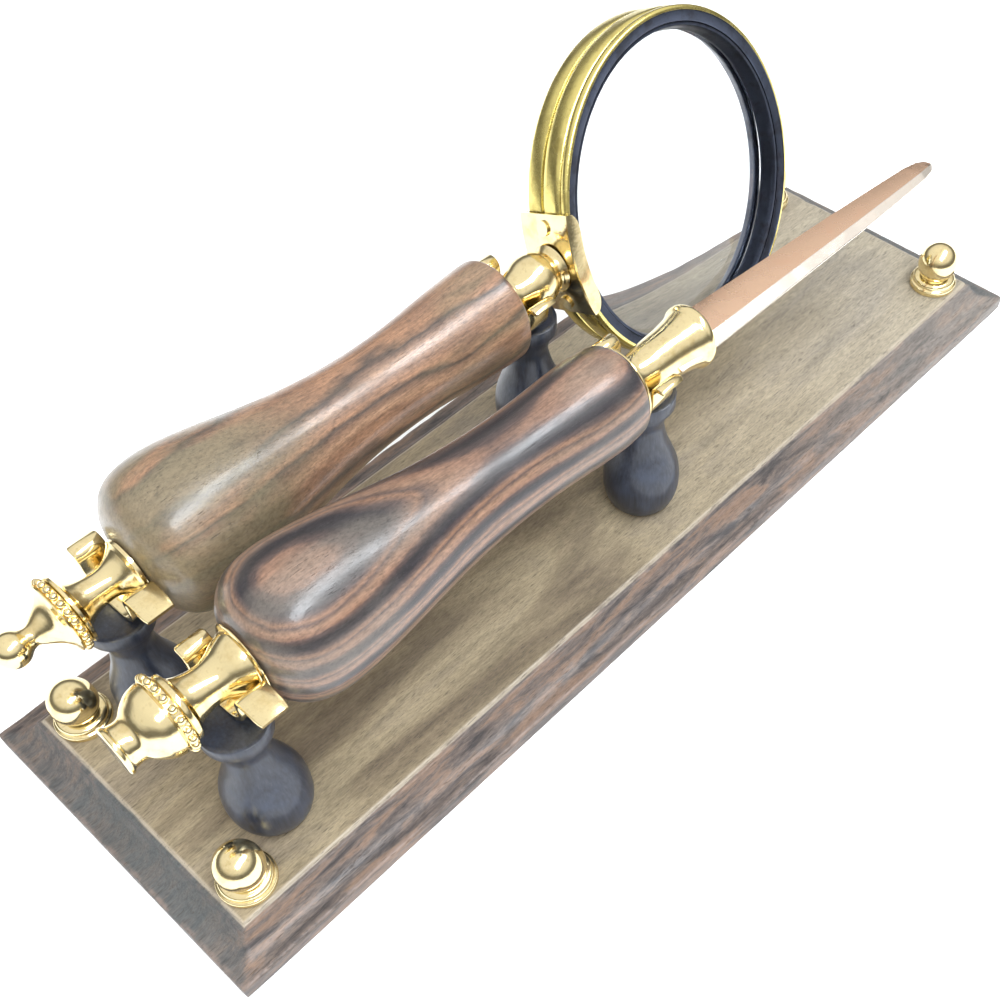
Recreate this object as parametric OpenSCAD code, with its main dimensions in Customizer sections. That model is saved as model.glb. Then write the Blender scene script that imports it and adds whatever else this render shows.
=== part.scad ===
// Desk stand with a magnifying glass and a letter opener, both lying in brass cradles.
// Millimetres, +Z up, origin at the centre of the underside of the board.
// +X runs along the board from the pommel end to the blade end.

/* [Board] */
// Overall length of the board
board_length = 300; // [285:1:330]
// Overall width of the board
board_width = 95; // [92:1:110]
// Overall thickness of the board
board_height = 10; // [9:0.5:14]
// Height of the plain band below the cove
band_height = 4.2; // [3:0.1:5]
// How far the flat top stands in from the edge
top_inset = 9.2; // [8.6:0.1:11]

/* [Posts] */
// Distance between the two posts of one tool
post_span = 126.1; // [126:0.1:127]
// Distance from the centre line to the letter opener's posts
opener_row = 21; // [20:0.5:22]
// Distance from the centre line to the magnifier's posts
glass_row = 19; // [18.5:0.5:21]
// How far the back cradles stand in front of the centres of their posts
cradle_ahead = 4.1; // [3.8:0.1:4.2]
// How far the front cradles stand behind the centres of their posts
cradle_behind = 4; // [3.8:0.1:4.1]
// Height of a post above the board
post_height = 37.2; // [34:0.1:42]
// Largest diameter of a post
post_bulb_d = 20; // [19.5:0.5:20.5]
// Diameter of the cap on a post
post_cap_d = 15.6; // [15:0.1:15.6]

/* [Cradles] */
// Width of the brass strip
strip_width = 7.2; // [6:0.1:8]
// Thickness of the brass strip
strip_t = 1.2; // [1:0.1:1.4]
// Half of the clear width between the arms
throat = 7.6; // [7.5:0.1:8.4]
// Height of the arms above the seat
arm_height = 8.6; // [8.4:0.1:10]
// Length of the near lip, which flares outwards
lip_reach = 8; // [6:0.5:8.5]
// Length of the far lip, which is only a short curl
curl_reach = 3.2; // [3:0.1:6]

/* [Corner knobs] */
// Diameter of the ball
knob_ball_d = 11.6; // [11:0.2:12.4]
// Diameter of the flange
knob_flange_d = 13.8; // [13.2:0.2:15]
// Distance of a knob from the end of the board
knob_end = 16.5; // [15:0.5:20]
// Distance of a knob from the side of the board
knob_side = 16.7; // [15:0.5:20]

/* [Magnifying glass] */
// Outer diameter of the ring
ring_d = 84; // [80:0.5:88]
// Depth of the ring, face to face
ring_depth = 15; // [13:0.5:16]
// Distance of the ring centre from the front post
ring_x = 55; // [53:0.5:58]
// Lean of the ring away from upright, in degrees
ring_lean = 22; // [15:1:30]
// Greatest thickness of the lens
lens_t = 9; // [6:0.5:9]

/* [Letter opener] */
// Length of the blade in front of the collar
blade_length = 97; // [80:1:110]
// Width of the blade at the collar
blade_width = 14; // [11:0.5:14.5]
// Thickness of the blade along its ridge
blade_t = 3; // [2:0.2:3.6]
// How far the opener lies askew, in degrees
askew = 2; // [1:0.1:2]

/* [Hidden] */
$fn = 96;

brass = [0.85, 0.68, 0.30];
dark_wood = [0.10, 0.10, 0.13];
rosewood = [0.36, 0.18, 0.12];
board_wood = [0.42, 0.32, 0.24];
steel = [0.60, 0.60, 0.62];

seat_x = 7;
front_x = seat_x + 1.5;
fore_x = front_x - cradle_behind;
back_x = front_x - post_span;
rear_x = back_x + cradle_ahead;
post_top = board_height + post_height;
foot_z = post_top;
seat_z = foot_z + strip_t;
glass_z = seat_z + 7.4;
opener_z = seat_z + 6.4;
opener_dip = 0.67;
opener_back_y = -opener_row - 0.4 + (seat_x - rear_x) * tan(askew);
opener_front_y = -opener_row - 0.4 + (seat_x - fore_x) * tan(askew);
knob_x = board_length / 2 - knob_end;
knob_y = board_width / 2 - knob_side;
far_knob = [knob_x - 2, knob_y + 1];
ring_r = ring_d / 2;
lens_r = ring_r - 3.7;

// Smooth curve through a list of [along, radius] points.
function cr(a, b, c, d, t) = 0.5 * ((2 * b) + (c - a) * t + (2 * a - 5 * b + 4 * c - d) * t * t
    + (3 * b - a - 3 * c + d) * t * t * t);
function pick(p, i) = p[max(0, min(len(p) - 1, i))];
function smooth(p, n) = concat([for (i = [0:len(p) - 2]) for (k = [0:n - 1])
    cr(pick(p, i - 1), p[i], p[i + 1], pick(p, i + 2), k / n)], [p[len(p) - 1]]);

// Solid of revolution about +X from a list of [x, radius] points.
module lathe_x(p) {
    rotate([0, 90, 0])
        rotate_extrude()
            polygon(concat([[0, p[0][0]]], [for (q = p) [q[1], q[0]]], [[0, p[len(p) - 1][0]]]));
}

// Solid of revolution about +Z from a list of [z, radius] points.
module lathe_z(p) {
    rotate_extrude()
        polygon(concat([[0, p[0][0]]], [for (q = p) [q[1], q[0]]], [[0, p[len(p) - 1][0]]]));
}

module bore_x(x0, x1, r) {
    translate([x0, 0, 0])
        rotate([0, 90, 0])
            cylinder(h = x1 - x0, r = r, $fn = 48);
}

module at_posts() {
    for (x = [back_x, front_x])
        for (y = [-opener_row, glass_row])
            translate([x, y, 0])
                children();
}

module at_cradles() {
    for (p = [[rear_x, opener_back_y], [fore_x, opener_front_y],
              [rear_x, glass_row], [fore_x, glass_row]])
        translate([p[0], p[1], 0])
            children();
}

// ---------- board ----------

module board() {
    color(board_wood)
        difference() {
            union() {
                translate([-board_length / 2, -board_width / 2, 0])
                    cube([board_length, board_width, band_height]);
                translate([-board_length / 2 + 1, -board_width / 2 + 1, 0])
                    cube([board_length - 2, board_width - 2, board_height - 0.8]);
                translate([-board_length / 2 + top_inset, -board_width / 2 + top_inset, 0])
                    cube([board_length - 2 * top_inset, board_width - 2 * top_inset, board_height]);
            }
            for (s = [-1, 1]) {
                translate([-board_length, s * (board_width / 2 - 1.8), band_height + 6.5])
                    rotate([0, 90, 0])
                        cylinder(h = 2 * board_length, r = 6.5);
                translate([s * (board_length / 2 - 1.8), board_width, band_height + 6.5])
                    rotate([90, 0, 0])
                        cylinder(h = 2 * board_width, r = 6.5);
            }
            at_posts() {
                translate([0, 0, -1])
                    cylinder(h = board_height + 2, r = 2.1, $fn = 48);
                translate([0, 0, -1])
                    cylinder(h = 3.4, r = 4.1, $fn = 48);
            }
            for (p = [[-knob_x, -knob_y], [knob_x, -knob_y], [-knob_x, knob_y], far_knob])
                translate([p[0], p[1], board_height - 7])
                    cylinder(h = 8, r = 2.05, $fn = 48);
        }
}

// Wood screws driven up through the board into the posts.
module post_screws() {
    color(steel)
        at_posts()
            difference() {
                translate([0, 0, 0.3])
                    lathe_z([[0, 3.9], [2, 3.9], [2.05, 2], [board_height + 14, 2], [board_height + 18, 0.6]]);
                translate([-0.6, -3, 0.2])
                    cube([1.2, 6, 0.9]);
            }
}

// ---------- posts ----------

function post_curve() = smooth([[0, post_bulb_d / 2 - 2.9], [1.6, post_bulb_d / 2 - 1.3],
    [5, post_bulb_d / 2 - 0.25], [9, post_bulb_d / 2], [13, post_bulb_d / 2 - 0.5],
    [17, post_bulb_d / 2 - 1.9], [21, post_bulb_d / 2 - 3.5], [25, post_bulb_d / 2 - 4.5],
    [post_height - 9.6, post_bulb_d / 2 - 4.8], [post_height - 6.6, post_bulb_d / 2 - 4.1],
    [post_height - 4.6, post_cap_d / 2 - 1.6], [post_height - 3.8, post_cap_d / 2 - 0.5]], 4);

// A turned post; pin is where its cradle is pinned, measured from its centre.
module post(pin) {
    difference() {
        translate([0, 0, board_height])
            lathe_z(concat(post_curve(), [[post_height - 3.4, post_cap_d / 2],
                [post_height - 0.5, post_cap_d / 2], [post_height, post_cap_d / 2 - 0.4]]));
        translate([0, 0, board_height - 1])
            cylinder(h = 20.5, r = 2.05, $fn = 48);
        translate([pin[0], pin[1], foot_z - 3.2])
            cylinder(h = 5, r = 1.3, $fn = 48);
    }
}

module post_1() {
    color(dark_wood)
        translate([back_x, -opener_row, 0])
            post([cradle_ahead, opener_back_y + opener_row]);
}

module post_2() {
    color(dark_wood)
        translate([front_x, -opener_row, 0])
            post([-cradle_behind, opener_front_y + opener_row]);
}

module post_3() {
    color(dark_wood)
        translate([back_x, glass_row, 0])
            post([cradle_ahead, 0]);
}

module post_4() {
    color(dark_wood)
        translate([front_x, glass_row, 0])
            post([-cradle_behind, 0]);
}

// ---------- cradles ----------

bend_r = 6;
lip_r = 2;

// Centre line of one arm, from the foot to the end of the lip: [y, z].
function arm_line(reach, arm) = concat(
    [for (a = [0:10:90]) [throat - bend_r + (bend_r + strip_t / 2) * sin(a),
        bend_r + strip_t / 2 - (bend_r + strip_t / 2) * cos(a)]],
    [for (a = [0:15:75]) [throat + strip_t / 2 + lip_r - lip_r * cos(a), arm + lip_r * sin(a)]],
    [[throat + strip_t / 2 + lip_r + 0.5, arm + lip_r + 0.02],
     [throat + strip_t / 2 + reach, arm + lip_r - 0.2 - (reach - lip_r) / 6]]);

// Centre line of the whole strip, from the near lip to the far one.
function strip_line(near, far) = let (a = arm_line(near, arm_height)) concat([for (i = [len(a) - 1:-1:0]) [-a[i][0], a[i][1]]],
    arm_line(curl_reach, far));

function unit(v) = v / norm(v);
function turn(v) = [-v[1], v[0]];
function side(p, i) = turn(unit(pick(p, i + 1) - pick(p, i - 1)));
function band(p, t) = concat([for (i = [0:len(p) - 1]) p[i] + side(p, i) * t / 2],
    [for (i = [len(p) - 1:-1:0]) p[i] - side(p, i) * t / 2]);

// near is the reach of the near lip, far the height of the far arm.
module cradle(near, far) {
    difference() {
        translate([-strip_width / 2, 0, foot_z + strip_t / 2])
            rotate([90, 0, 90])
                linear_extrude(strip_width)
                    polygon(band(strip_line(near, far), strip_t));
        translate([0, 0, foot_z - 1])
            cylinder(h = 4, r = 1.3, $fn = 48);
    }
}

module cradle_1() {
    color(brass)
        translate([rear_x, opener_back_y, 0])
            cradle(lip_reach, arm_height - 1.5);
}

module cradle_2() {
    color(brass)
        translate([fore_x, opener_front_y, 0])
            cradle(curl_reach, arm_height);
}

module cradle_3() {
    color(brass)
        translate([rear_x, glass_row, 0])
            cradle(lip_reach, arm_height);
}

module cradle_4() {
    color(brass)
        translate([fore_x, glass_row, 0])
            cradle(curl_reach, arm_height + 1.5);
}

// Flat pins through the foot of each cradle, driven into the post.
module cradle_screws() {
    color(brass)
        at_cradles()
            translate([0, 0, foot_z - 3])
                cylinder(h = 3 + strip_t, r = 1.25, $fn = 48);
}

// ---------- corner knobs ----------

module knob() {
    translate([0, 0, board_height])
        union() {
            lathe_z([[0, knob_flange_d / 2 - 0.4], [0.3, knob_flange_d / 2], [1.6, knob_flange_d / 2],
                [1.9, knob_flange_d / 2 - 0.5], [2.2, knob_flange_d / 2 - 0.6], [3, knob_flange_d / 2 - 0.8],
                [3.4, knob_flange_d / 2 - 1.5], [3.7, knob_flange_d / 2 - 2.4], [5, 3.5]]);
            translate([0, 0, knob_ball_d / 2 + 1.8])
                sphere(r = knob_ball_d / 2);
            translate([0, 0, -6.5])
                cylinder(h = 7, r = 2, $fn = 48);
        }
}

module knob_1() {
    color(brass)
        translate([-knob_x, -knob_y, 0])
            knob();
}

module knob_2() {
    color(brass)
        translate([knob_x, -knob_y, 0])
            knob();
}

module knob_3() {
    color(brass)
        translate([-knob_x, knob_y, 0])
            knob();
}

module knob_4() {
    color(brass)
        translate([far_knob[0], far_knob[1], 0])
            knob();
}

// ---------- magnifying glass ----------

module glass_frame() {
    translate([seat_x, glass_row, glass_z])
        children();
}

module ring_frame() {
    glass_frame()
        translate([ring_x, 0, 0])
            rotate([90 - ring_lean, 0, 0])
                children();
}

module glass_pommel() {
    color(brass)
        glass_frame()
            difference() {
                lathe_x(concat(
                        [for (a = [0:15:135]) [-145.6 - 4 * cos(a), max(0.01, 4 * sin(a))]],
                        smooth([[-142.2, 2.5], [-141, 2.3], [-139.4, 3.2], [-137, 4.9], [-135.6, 6.6]], 4),
                        [[-135.2, 8.2], [-134.9, 8.2], [-134.85, 6.6], [-132.45, 6.6], [-132.4, 8],
                         [-131.4, 8], [-131, 6.4]],
                        smooth([[-130.6, 5.4], [-128.2, 4.1], [-125, 3.5], [-122.4, 3.6], [-120.2, 4.6],
                            [-118.4, 6]], 4),
                        [[-117.9, 6.8], [-116.8, 6.8]]));
                bore_x(-128, -116, 2.05);
            }
}

module beads(x, r, count, bead) {
    for (i = [0:count - 1])
        rotate([i * 360 / count, 0, 0])
            translate([x, 0, r])
                sphere(r = bead, $fn = 24);
}

module bead_ring(x0, x1, inner, outer, count) {
    union() {
        difference() {
            bore_x(x0, x1, outer);
            bore_x(x0 - 1, x1 + 1, inner);
        }
        beads((x0 + x1) / 2, outer, count, 0.45 * (x1 - x0));
    }
}

module glass_bead_ring() {
    color(brass)
        glass_frame()
            bead_ring(-134.75, -132.55, 6.75, 7.9, 24);
}

module glass_handle() {
    color(rosewood)
        glass_frame()
            difference() {
                lathe_x(smooth([[-116.6, 6.4], [-116, 9.5], [-114.9, 12.4], [-112.3, 15.5],
                    [-109, 17.2], [-105, 17.9], [-100.5, 18], [-95.5, 17.5], [-88, 16.2], [-78, 14.2],
                    [-68, 12.5], [-57, 11.3], [-46, 10.9], [-37, 11.1], [-28, 11.8], [-20, 12.4],
                    [-13, 12.8], [-10, 12.8], [-8.9, 12.5], [-8.3, 11.8]], 4));
                bore_x(-119, -6, 2.05);
            }
}

// Steel rod that ties pommel, handle and collar together.
module glass_rod() {
    color(steel)
        glass_frame()
            bore_x(-127.6, 4, 2);
}

module glass_washer() {
    color(brass)
        glass_frame()
            difference() {
                lathe_x([[-8.2, 9.4], [-7.9, 10], [-7.5, 10], [-6.9, 7.2]]);
                bore_x(-9, -6, 2.05);
            }
}

module glass_collar() {
    color(brass)
        glass_frame()
            difference() {
                lathe_x(concat([[-6.8, 6.8], [-6.2, 6.9], [-5.6, 6.2]],
                    smooth([[-4.8, 5.2], [-3, 5], [-1, 5.5], [2, 6.6], [4.8, 6.9], [7.4, 6.3], [9.4, 5.1],
                        [10.6, 5.2]], 4),
                    [[ring_x - ring_r - 1.4, 6.2]]));
                bore_x(-8, 4.3, 2.05);
                translate([ring_x, 0, 0])
                    rotate([90 - ring_lean, 0, 0])
                        cylinder(h = 40, r = ring_r + 1.3, center = true);
            }
}

// Saddle that grips the rim of the ring.
module glass_saddle() {
    color(brass)
        ring_frame()
            difference() {
                intersection() {
                    rotate_extrude()
                        polygon([[ring_r - 3.2, -ring_depth / 2 - 1.3], [ring_r + 1.3, -ring_depth / 2 - 1.3],
                            [ring_r + 1.3, ring_depth / 2 + 1.3], [ring_r - 3.2, ring_depth / 2 + 1.3],
                            [ring_r - 3.2, ring_depth / 2 + 0.1], [ring_r + 0.1, ring_depth / 2 + 0.1],
                            [ring_r + 0.1, -ring_depth / 2 - 0.1], [ring_r - 3.2, -ring_depth / 2 - 0.1]]);
                    translate([-ring_r - 5, -13, -20])
                        cube([24, 26, 40]);
                }
                for (y = [-9.5, 9.5])
                    rotate([0, 0, asin(y / ring_r)])
                        translate([-ring_r - 3, 0, 0])
                            rotate([0, 90, 0])
                                cylinder(h = 5, r = 1.05, $fn = 32);
            }
}

module glass_saddle_rivets() {
    color(brass)
        ring_frame()
            for (y = [-9.5, 9.5])
                rotate([0, 0, asin(y / ring_r)])
                    translate([-ring_r - 1.9, 0, 0])
                        rotate([0, 90, 0])
                            union() {
                                cylinder(h = 3.4, r = 1, $fn = 32);
                                cylinder(h = 0.55, r = 1.9, $fn = 32);
                            }
}

module glass_ring() {
    color(brass)
        ring_frame()
            difference() {
                rotate_extrude()
                    polygon([[lens_r + 0.1, -ring_depth / 2], [ring_r - 0.9, -ring_depth / 2],
                        [ring_r - 0.5, -ring_depth / 2 + 0.5], [ring_r - 0.3, -2], [ring_r - 1, -1.8],
                        [ring_r - 1, -1.2], [ring_r - 0.2, -1], [ring_r, 0.5], [ring_r, 3],
                        [ring_r - 0.3, 4.4], [ring_r - 1, 4.6], [ring_r - 1, 5.1], [ring_r - 0.2, 5.3],
                        [ring_r, 5.8], [ring_r, ring_depth / 2 - 0.5], [ring_r - 0.5, ring_depth / 2],
                        [lens_r + 0.1, ring_depth / 2]]);
                for (y = [-9.5, 9.5])
                    rotate([0, 0, asin(y / ring_r)])
                        translate([-ring_r - 3, 0, 0])
                            rotate([0, 90, 0])
                                cylinder(h = 4.6, r = 1.05, $fn = 32);
            }
}

// Blackened rings that hold the lens in its seat.
module retainer() {
    rotate_extrude()
        polygon([[lens_r - 2.5, 2.2], [lens_r, 2.2], [lens_r, ring_depth / 2 - 0.6],
            [lens_r - 1, ring_depth / 2 - 0.6], [lens_r - 2.5, ring_depth / 2 - 4.2]]);
}

module glass_retainer_front() {
    color([0.12, 0.13, 0.17])
        ring_frame()
            retainer();
}

module glass_retainer_rear() {
    color([0.12, 0.13, 0.17])
        ring_frame()
            mirror([0, 0, 1])
                retainer();
}

function lens_half(r, edge, mid) = let (s = mid - edge, q = (r * r + s * s) / (2 * s))
    [for (a = [0:12]) let (x = r * a / 12) [mid - q + sqrt(q * q - x * x), x]];

module glass_lens() {
    color([0.85, 0.93, 0.97, 0.35])
        ring_frame()
            rotate_extrude()
                polygon(concat([for (q = lens_half(lens_r - 0.2, 1.55, lens_t / 2)) [q[1], q[0]]],
                    [for (i = [12:-1:0]) let (q = lens_half(lens_r - 0.2, 1.55, lens_t / 2)[i]) [q[1], -q[0]]]));
}

// ---------- letter opener ----------

module opener_frame() {
    translate([seat_x, -opener_row - 0.4, opener_z])
        rotate([0, opener_dip, -askew])
            children();
}

module opener_pommel() {
    color(brass)
        opener_frame()
            difference() {
                lathe_x(concat([[-146.2, 5.2], [-145.9, 5.5], [-145.2, 5.5], [-144.8, 5.1]],
                    smooth([[-144.4, 4.9], [-142.8, 4.7], [-141.6, 5], [-140.2, 6.3], [-138, 7.7],
                        [-136, 8.2], [-135, 8.3]], 4),
                    [[-134.95, 7.3], [-132.45, 7.3], [-132.4, 7.6], [-131, 7.6], [-130.6, 6.4]],
                    smooth([[-130.2, 5.7], [-128.6, 5], [-126, 4.5], [-123.6, 4.5], [-121.6, 5.1],
                        [-119.8, 6], [-118.4, 6.6]], 4),
                    [[-117.2, 7.1], [-116.35, 7.2], [-116.15, 8.4], [-115.95, 8.6], [-115.75, 8.6]]));
                bore_x(-128, -115, 2.05);
            }
}

module opener_bead_ring() {
    color(brass)
        opener_frame()
            bead_ring(-134.8, -132.6, 7.4, 8.4, 20);
}

module opener_handle() {
    color(rosewood)
        opener_frame()
            difference() {
                lathe_x(smooth([[-115.6, 7.2], [-115, 9.4], [-113.6, 12], [-110.6, 14.8], [-106.6, 16.5],
                    [-102, 17.1], [-97, 17], [-91, 16.4], [-83, 15.3], [-74, 13.9], [-64, 12.5],
                    [-53, 11.6], [-43, 11.3], [-33, 11.5], [-24, 12], [-17, 12.2], [-12.4, 11.9],
                    [-10, 11.5], [-9.2, 11.1], [-8.8, 10.4]], 4));
                bore_x(-118, -6, 2.05);
            }
}

module opener_rod() {
    color(steel)
        opener_frame()
            bore_x(-127.6, 4, 2);
}

module opener_washer() {
    color(brass)
        opener_frame()
            difference() {
                lathe_x([[-8.7, 9.6], [-8.4, 10.3], [-7.9, 10.3], [-7.4, 7]]);
                bore_x(-10, -6, 2.05);
            }
}

module opener_collar() {
    color(brass)
        opener_frame()
            difference() {
                lathe_x(concat([[-7.3, 6.6], [-6.7, 6.7], [-6.1, 6]],
                    smooth([[-5.4, 5.3], [-3.5, 5], [-1, 5.2], [2, 5.7], [5, 6], [9, 6.3], [12.5, 6.8], [15, 7.4]], 4),
                    [[15.8, 8.1], [16.9, 8.1], [17.4, 7.7]]));
                bore_x(-8, 4.3, 2.05);
                translate([6, -blade_width / 2 - 0.1, -blade_t / 2 - 0.1])
                    cube([14, blade_width + 0.2, blade_t + 0.2]);
            }
}

// Blade stations: [x, half width, half thickness].
function blade_rows() = [[6.2, blade_width / 2, blade_t / 2],
    [17.5, blade_width / 2, blade_t / 2],
    [17.5 + blade_length * 0.6, blade_width * 0.36, blade_t * 0.46],
    [17.5 + blade_length * 0.93, blade_width * 0.25, blade_t * 0.42],
    [17.5 + blade_length * 0.975, blade_width * 0.19, blade_t * 0.34],
    [17.5 + blade_length * 0.995, blade_width * 0.1, blade_t * 0.22],
    [17.5 + blade_length, blade_width * 0.04, blade_t * 0.12]];

module opener_blade() {
    rows = blade_rows();
    n = len(rows);
    color([0.80, 0.50, 0.36])
        opener_frame()
            polyhedron(
                points = [for (r = rows) for (q = [[r[1], 0.25], [-0.52 * r[1], r[2]], [-r[1], 0.25],
                    [-r[1], -0.25], [-0.52 * r[1], -r[2]], [r[1], -0.25]]) [r[0], q[0], q[1]]],
                faces = concat([[0, 1, 2, 3, 4, 5]],
                    [for (i = [0:n - 2]) for (k = [0:5])
                        [i * 6 + k, i * 6 + 6 + k, i * 6 + 6 + (k + 1) % 6]],
                    [for (i = [0:n - 2]) for (k = [0:5])
                        [i * 6 + k, i * 6 + 6 + (k + 1) % 6, i * 6 + (k + 1) % 6]],
                    [[for (k = [5:-1:0]) (n - 1) * 6 + k]]));
}

board();
post_screws();
post_1();
post_2();
post_3();
post_4();
cradle_1();
cradle_2();
cradle_3();
cradle_4();
cradle_screws();
knob_1();
knob_2();
knob_3();
knob_4();
glass_pommel();
glass_bead_ring();
glass_handle();
glass_rod();
glass_washer();
glass_collar();
glass_saddle();
glass_saddle_rivets();
glass_ring();
glass_retainer_front();
glass_retainer_rear();
glass_lens();
opener_pommel();
opener_bead_ring();
opener_handle();
opener_rod();
opener_washer();
opener_collar();
opener_blade();
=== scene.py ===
"""Desk stand with a magnifying glass and a letter opener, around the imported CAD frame."""
import math

import bmesh
import bpy
from mathutils import Matrix, Vector, noise


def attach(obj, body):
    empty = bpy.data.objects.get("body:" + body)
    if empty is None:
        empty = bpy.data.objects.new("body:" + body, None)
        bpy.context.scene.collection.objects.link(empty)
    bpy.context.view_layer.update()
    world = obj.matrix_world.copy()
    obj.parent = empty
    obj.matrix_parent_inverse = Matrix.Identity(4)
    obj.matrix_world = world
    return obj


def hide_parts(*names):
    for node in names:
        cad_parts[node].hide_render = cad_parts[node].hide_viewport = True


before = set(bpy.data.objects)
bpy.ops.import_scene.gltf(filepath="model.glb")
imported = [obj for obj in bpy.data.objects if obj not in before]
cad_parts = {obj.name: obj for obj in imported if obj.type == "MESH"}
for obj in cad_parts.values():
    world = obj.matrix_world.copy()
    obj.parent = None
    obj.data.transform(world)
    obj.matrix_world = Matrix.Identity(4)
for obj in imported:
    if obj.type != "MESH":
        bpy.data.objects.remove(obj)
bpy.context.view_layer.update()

MM = 0.001

# ---------- where things are, in millimetres ----------

BOARD_LENGTH, BOARD_WIDTH, BOARD_TOP = 300.0, 95.0, 10.0
MITRE = (BOARD_LENGTH - BOARD_WIDTH) / 2  # |x| - |y| along the lines to the corners
SEAT_X = 7.0
FRONT_X, BACK_X = 8.5, -117.6
FORE_X, REAR_X = 4.5, -113.5
OPENER_ROW, GLASS_ROW = -21.0, 19.0
OPENER_Y = OPENER_ROW - 0.4
POST_TOP = 47.2
STRIP_T, STRIP_W = 1.2, 7.2
SEAT_Z = POST_TOP + STRIP_T
GLASS_Z, OPENER_Z = SEAT_Z + 7.4, SEAT_Z + 6.4
OPENER_DIP, OPENER_SKEW = math.radians(0.67), math.radians(2.0)
OPENER_BACK_Y = OPENER_Y + (SEAT_X - REAR_X) * math.tan(OPENER_SKEW)
OPENER_FRONT_Y = OPENER_Y + (SEAT_X - FORE_X) * math.tan(OPENER_SKEW)
RING_X, RING_R, RING_DEPTH, RING_LEAN = 55.0, 42.0, 15.0, math.radians(22)
LENS_R, LENS_T = 38.3, 9.0

KNOB_PLACES = [(-133.5, -30.8), (133.5, -30.8), (-133.5, 30.8), (131.5, 31.8)]
POST_PLACES = [(BACK_X, OPENER_ROW), (FRONT_X, OPENER_ROW), (BACK_X, GLASS_ROW),
               (FRONT_X, GLASS_ROW)]
LONG_LIP, SHORT_LIP = 8.0, 3.2
# Each cradle: x, y, reach of its near lip, how far its far arm rises above the others.
CRADLES = [(REAR_X, OPENER_BACK_Y, LONG_LIP, -1.5), (FORE_X, OPENER_FRONT_Y, SHORT_LIP, 0.0),
           (REAR_X, GLASS_ROW, LONG_LIP, 0.0), (FORE_X, GLASS_ROW, SHORT_LIP, 1.5)]

STAND, GLASS, OPENER = "stand", "magnifying_glass", "letter_opener"


def shift(x, y, z):
    return Matrix.Translation(Vector((x, y, z)) * MM)


GLASS_FRAME = shift(SEAT_X, GLASS_ROW, GLASS_Z)
RING_FRAME = (GLASS_FRAME @ shift(RING_X, 0, 0)
              @ Matrix.Rotation(math.pi / 2 - RING_LEAN, 4, "X"))
OPENER_FRAME = (shift(SEAT_X, OPENER_Y, OPENER_Z) @ Matrix.Rotation(-OPENER_SKEW, 4, "Z")
                @ Matrix.Rotation(OPENER_DIP, 4, "Y"))

# ---------- material building ----------


class Mat:
    """A node material; each helper adds one node and returns its output socket."""

    def __init__(self, name):
        self.m = bpy.data.materials.new(name)
        self.m.use_nodes = True
        self.nt = self.m.node_tree
        self.bsdf = self.nt.nodes["Principled BSDF"]

    def put(self, socket, value):
        if isinstance(value, bpy.types.NodeSocket):
            self.nt.links.new(value, socket)
        else:
            socket.default_value = value

    def set(self, **values):
        for key, value in values.items():
            self.put(self.bsdf.inputs[key.replace("_", " ")], value)

    def place(self):
        """Position on the piece in millimetres, in the piece's own frame."""
        coord = self.nt.nodes.new("ShaderNodeTexCoord").outputs["Object"]
        return self.vec("SCALE", coord, scale=1000.0)

    def vec(self, op, a, b=None, scale=None):
        n = self.nt.nodes.new("ShaderNodeVectorMath")
        n.operation = op
        self.put(n.inputs[0], a)
        if b is not None:
            self.put(n.inputs[1], b)
        if scale is not None:
            self.put(n.inputs["Scale"], scale)
        return n.outputs[0]

    def math(self, op, a, b=0.0):
        n = self.nt.nodes.new("ShaderNodeMath")
        n.operation = op
        self.put(n.inputs[0], a)
        self.put(n.inputs[1], b)
        return n.outputs[0]

    def split(self, v):
        n = self.nt.nodes.new("ShaderNodeSeparateXYZ")
        self.put(n.inputs[0], v)
        return n.outputs

    def noise(self, v, stretch, detail, rough=0.55, distort=0.0):
        n = self.nt.nodes.new("ShaderNodeTexNoise")
        self.put(n.inputs["Vector"], self.vec("MULTIPLY", v, stretch))
        n.inputs["Scale"].default_value = 1.0
        n.inputs["Detail"].default_value = detail
        n.inputs["Roughness"].default_value = rough
        n.inputs["Distortion"].default_value = distort
        return n.outputs["Fac"]

    def cells(self, v, stretch):
        n = self.nt.nodes.new("ShaderNodeTexVoronoi")
        self.put(n.inputs["Vector"], self.vec("MULTIPLY", v, stretch))
        n.inputs["Scale"].default_value = 1.0
        return n.outputs["Distance"]

    def ramp(self, fac, stops):
        n = self.nt.nodes.new("ShaderNodeValToRGB")
        r = n.color_ramp
        while len(r.elements) < len(stops):
            r.elements.new(0.5)
        for e, (pos, colour) in zip(r.elements, stops):
            e.position = pos
            e.color = (*colour, 1) if isinstance(colour, tuple) else (colour, colour, colour, 1)
        self.put(n.inputs[0], fac)
        return n.outputs[0]

    def span(self, x, lo, hi, out_lo=0.0, out_hi=1.0):
        n = self.nt.nodes.new("ShaderNodeMapRange")
        n.interpolation_type = "SMOOTHSTEP"
        for socket, value in zip(("Value", "From Min", "From Max", "To Min", "To Max"),
                                 (x, lo, hi, out_lo, out_hi)):
            self.put(n.inputs[socket], value)
        return n.outputs[0]

    def mix(self, fac, a, b, blend="MIX"):
        n = self.nt.nodes.new("ShaderNodeMix")
        n.data_type = "RGBA"
        n.blend_type = blend
        self.put(n.inputs[0], fac)
        for socket, value in ((n.inputs[6], a), (n.inputs[7], b)):
            self.put(socket, (*value, 1) if isinstance(value, tuple) else value)
        return n.outputs[2]

    def bump(self, height, depth_mm, strength):
        n = self.nt.nodes.new("ShaderNodeBump")
        n.inputs["Strength"].default_value = strength
        n.inputs["Distance"].default_value = depth_mm * MM
        self.put(n.inputs["Height"], height)
        self.put(self.bsdf.inputs["Normal"], n.outputs[0])


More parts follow.
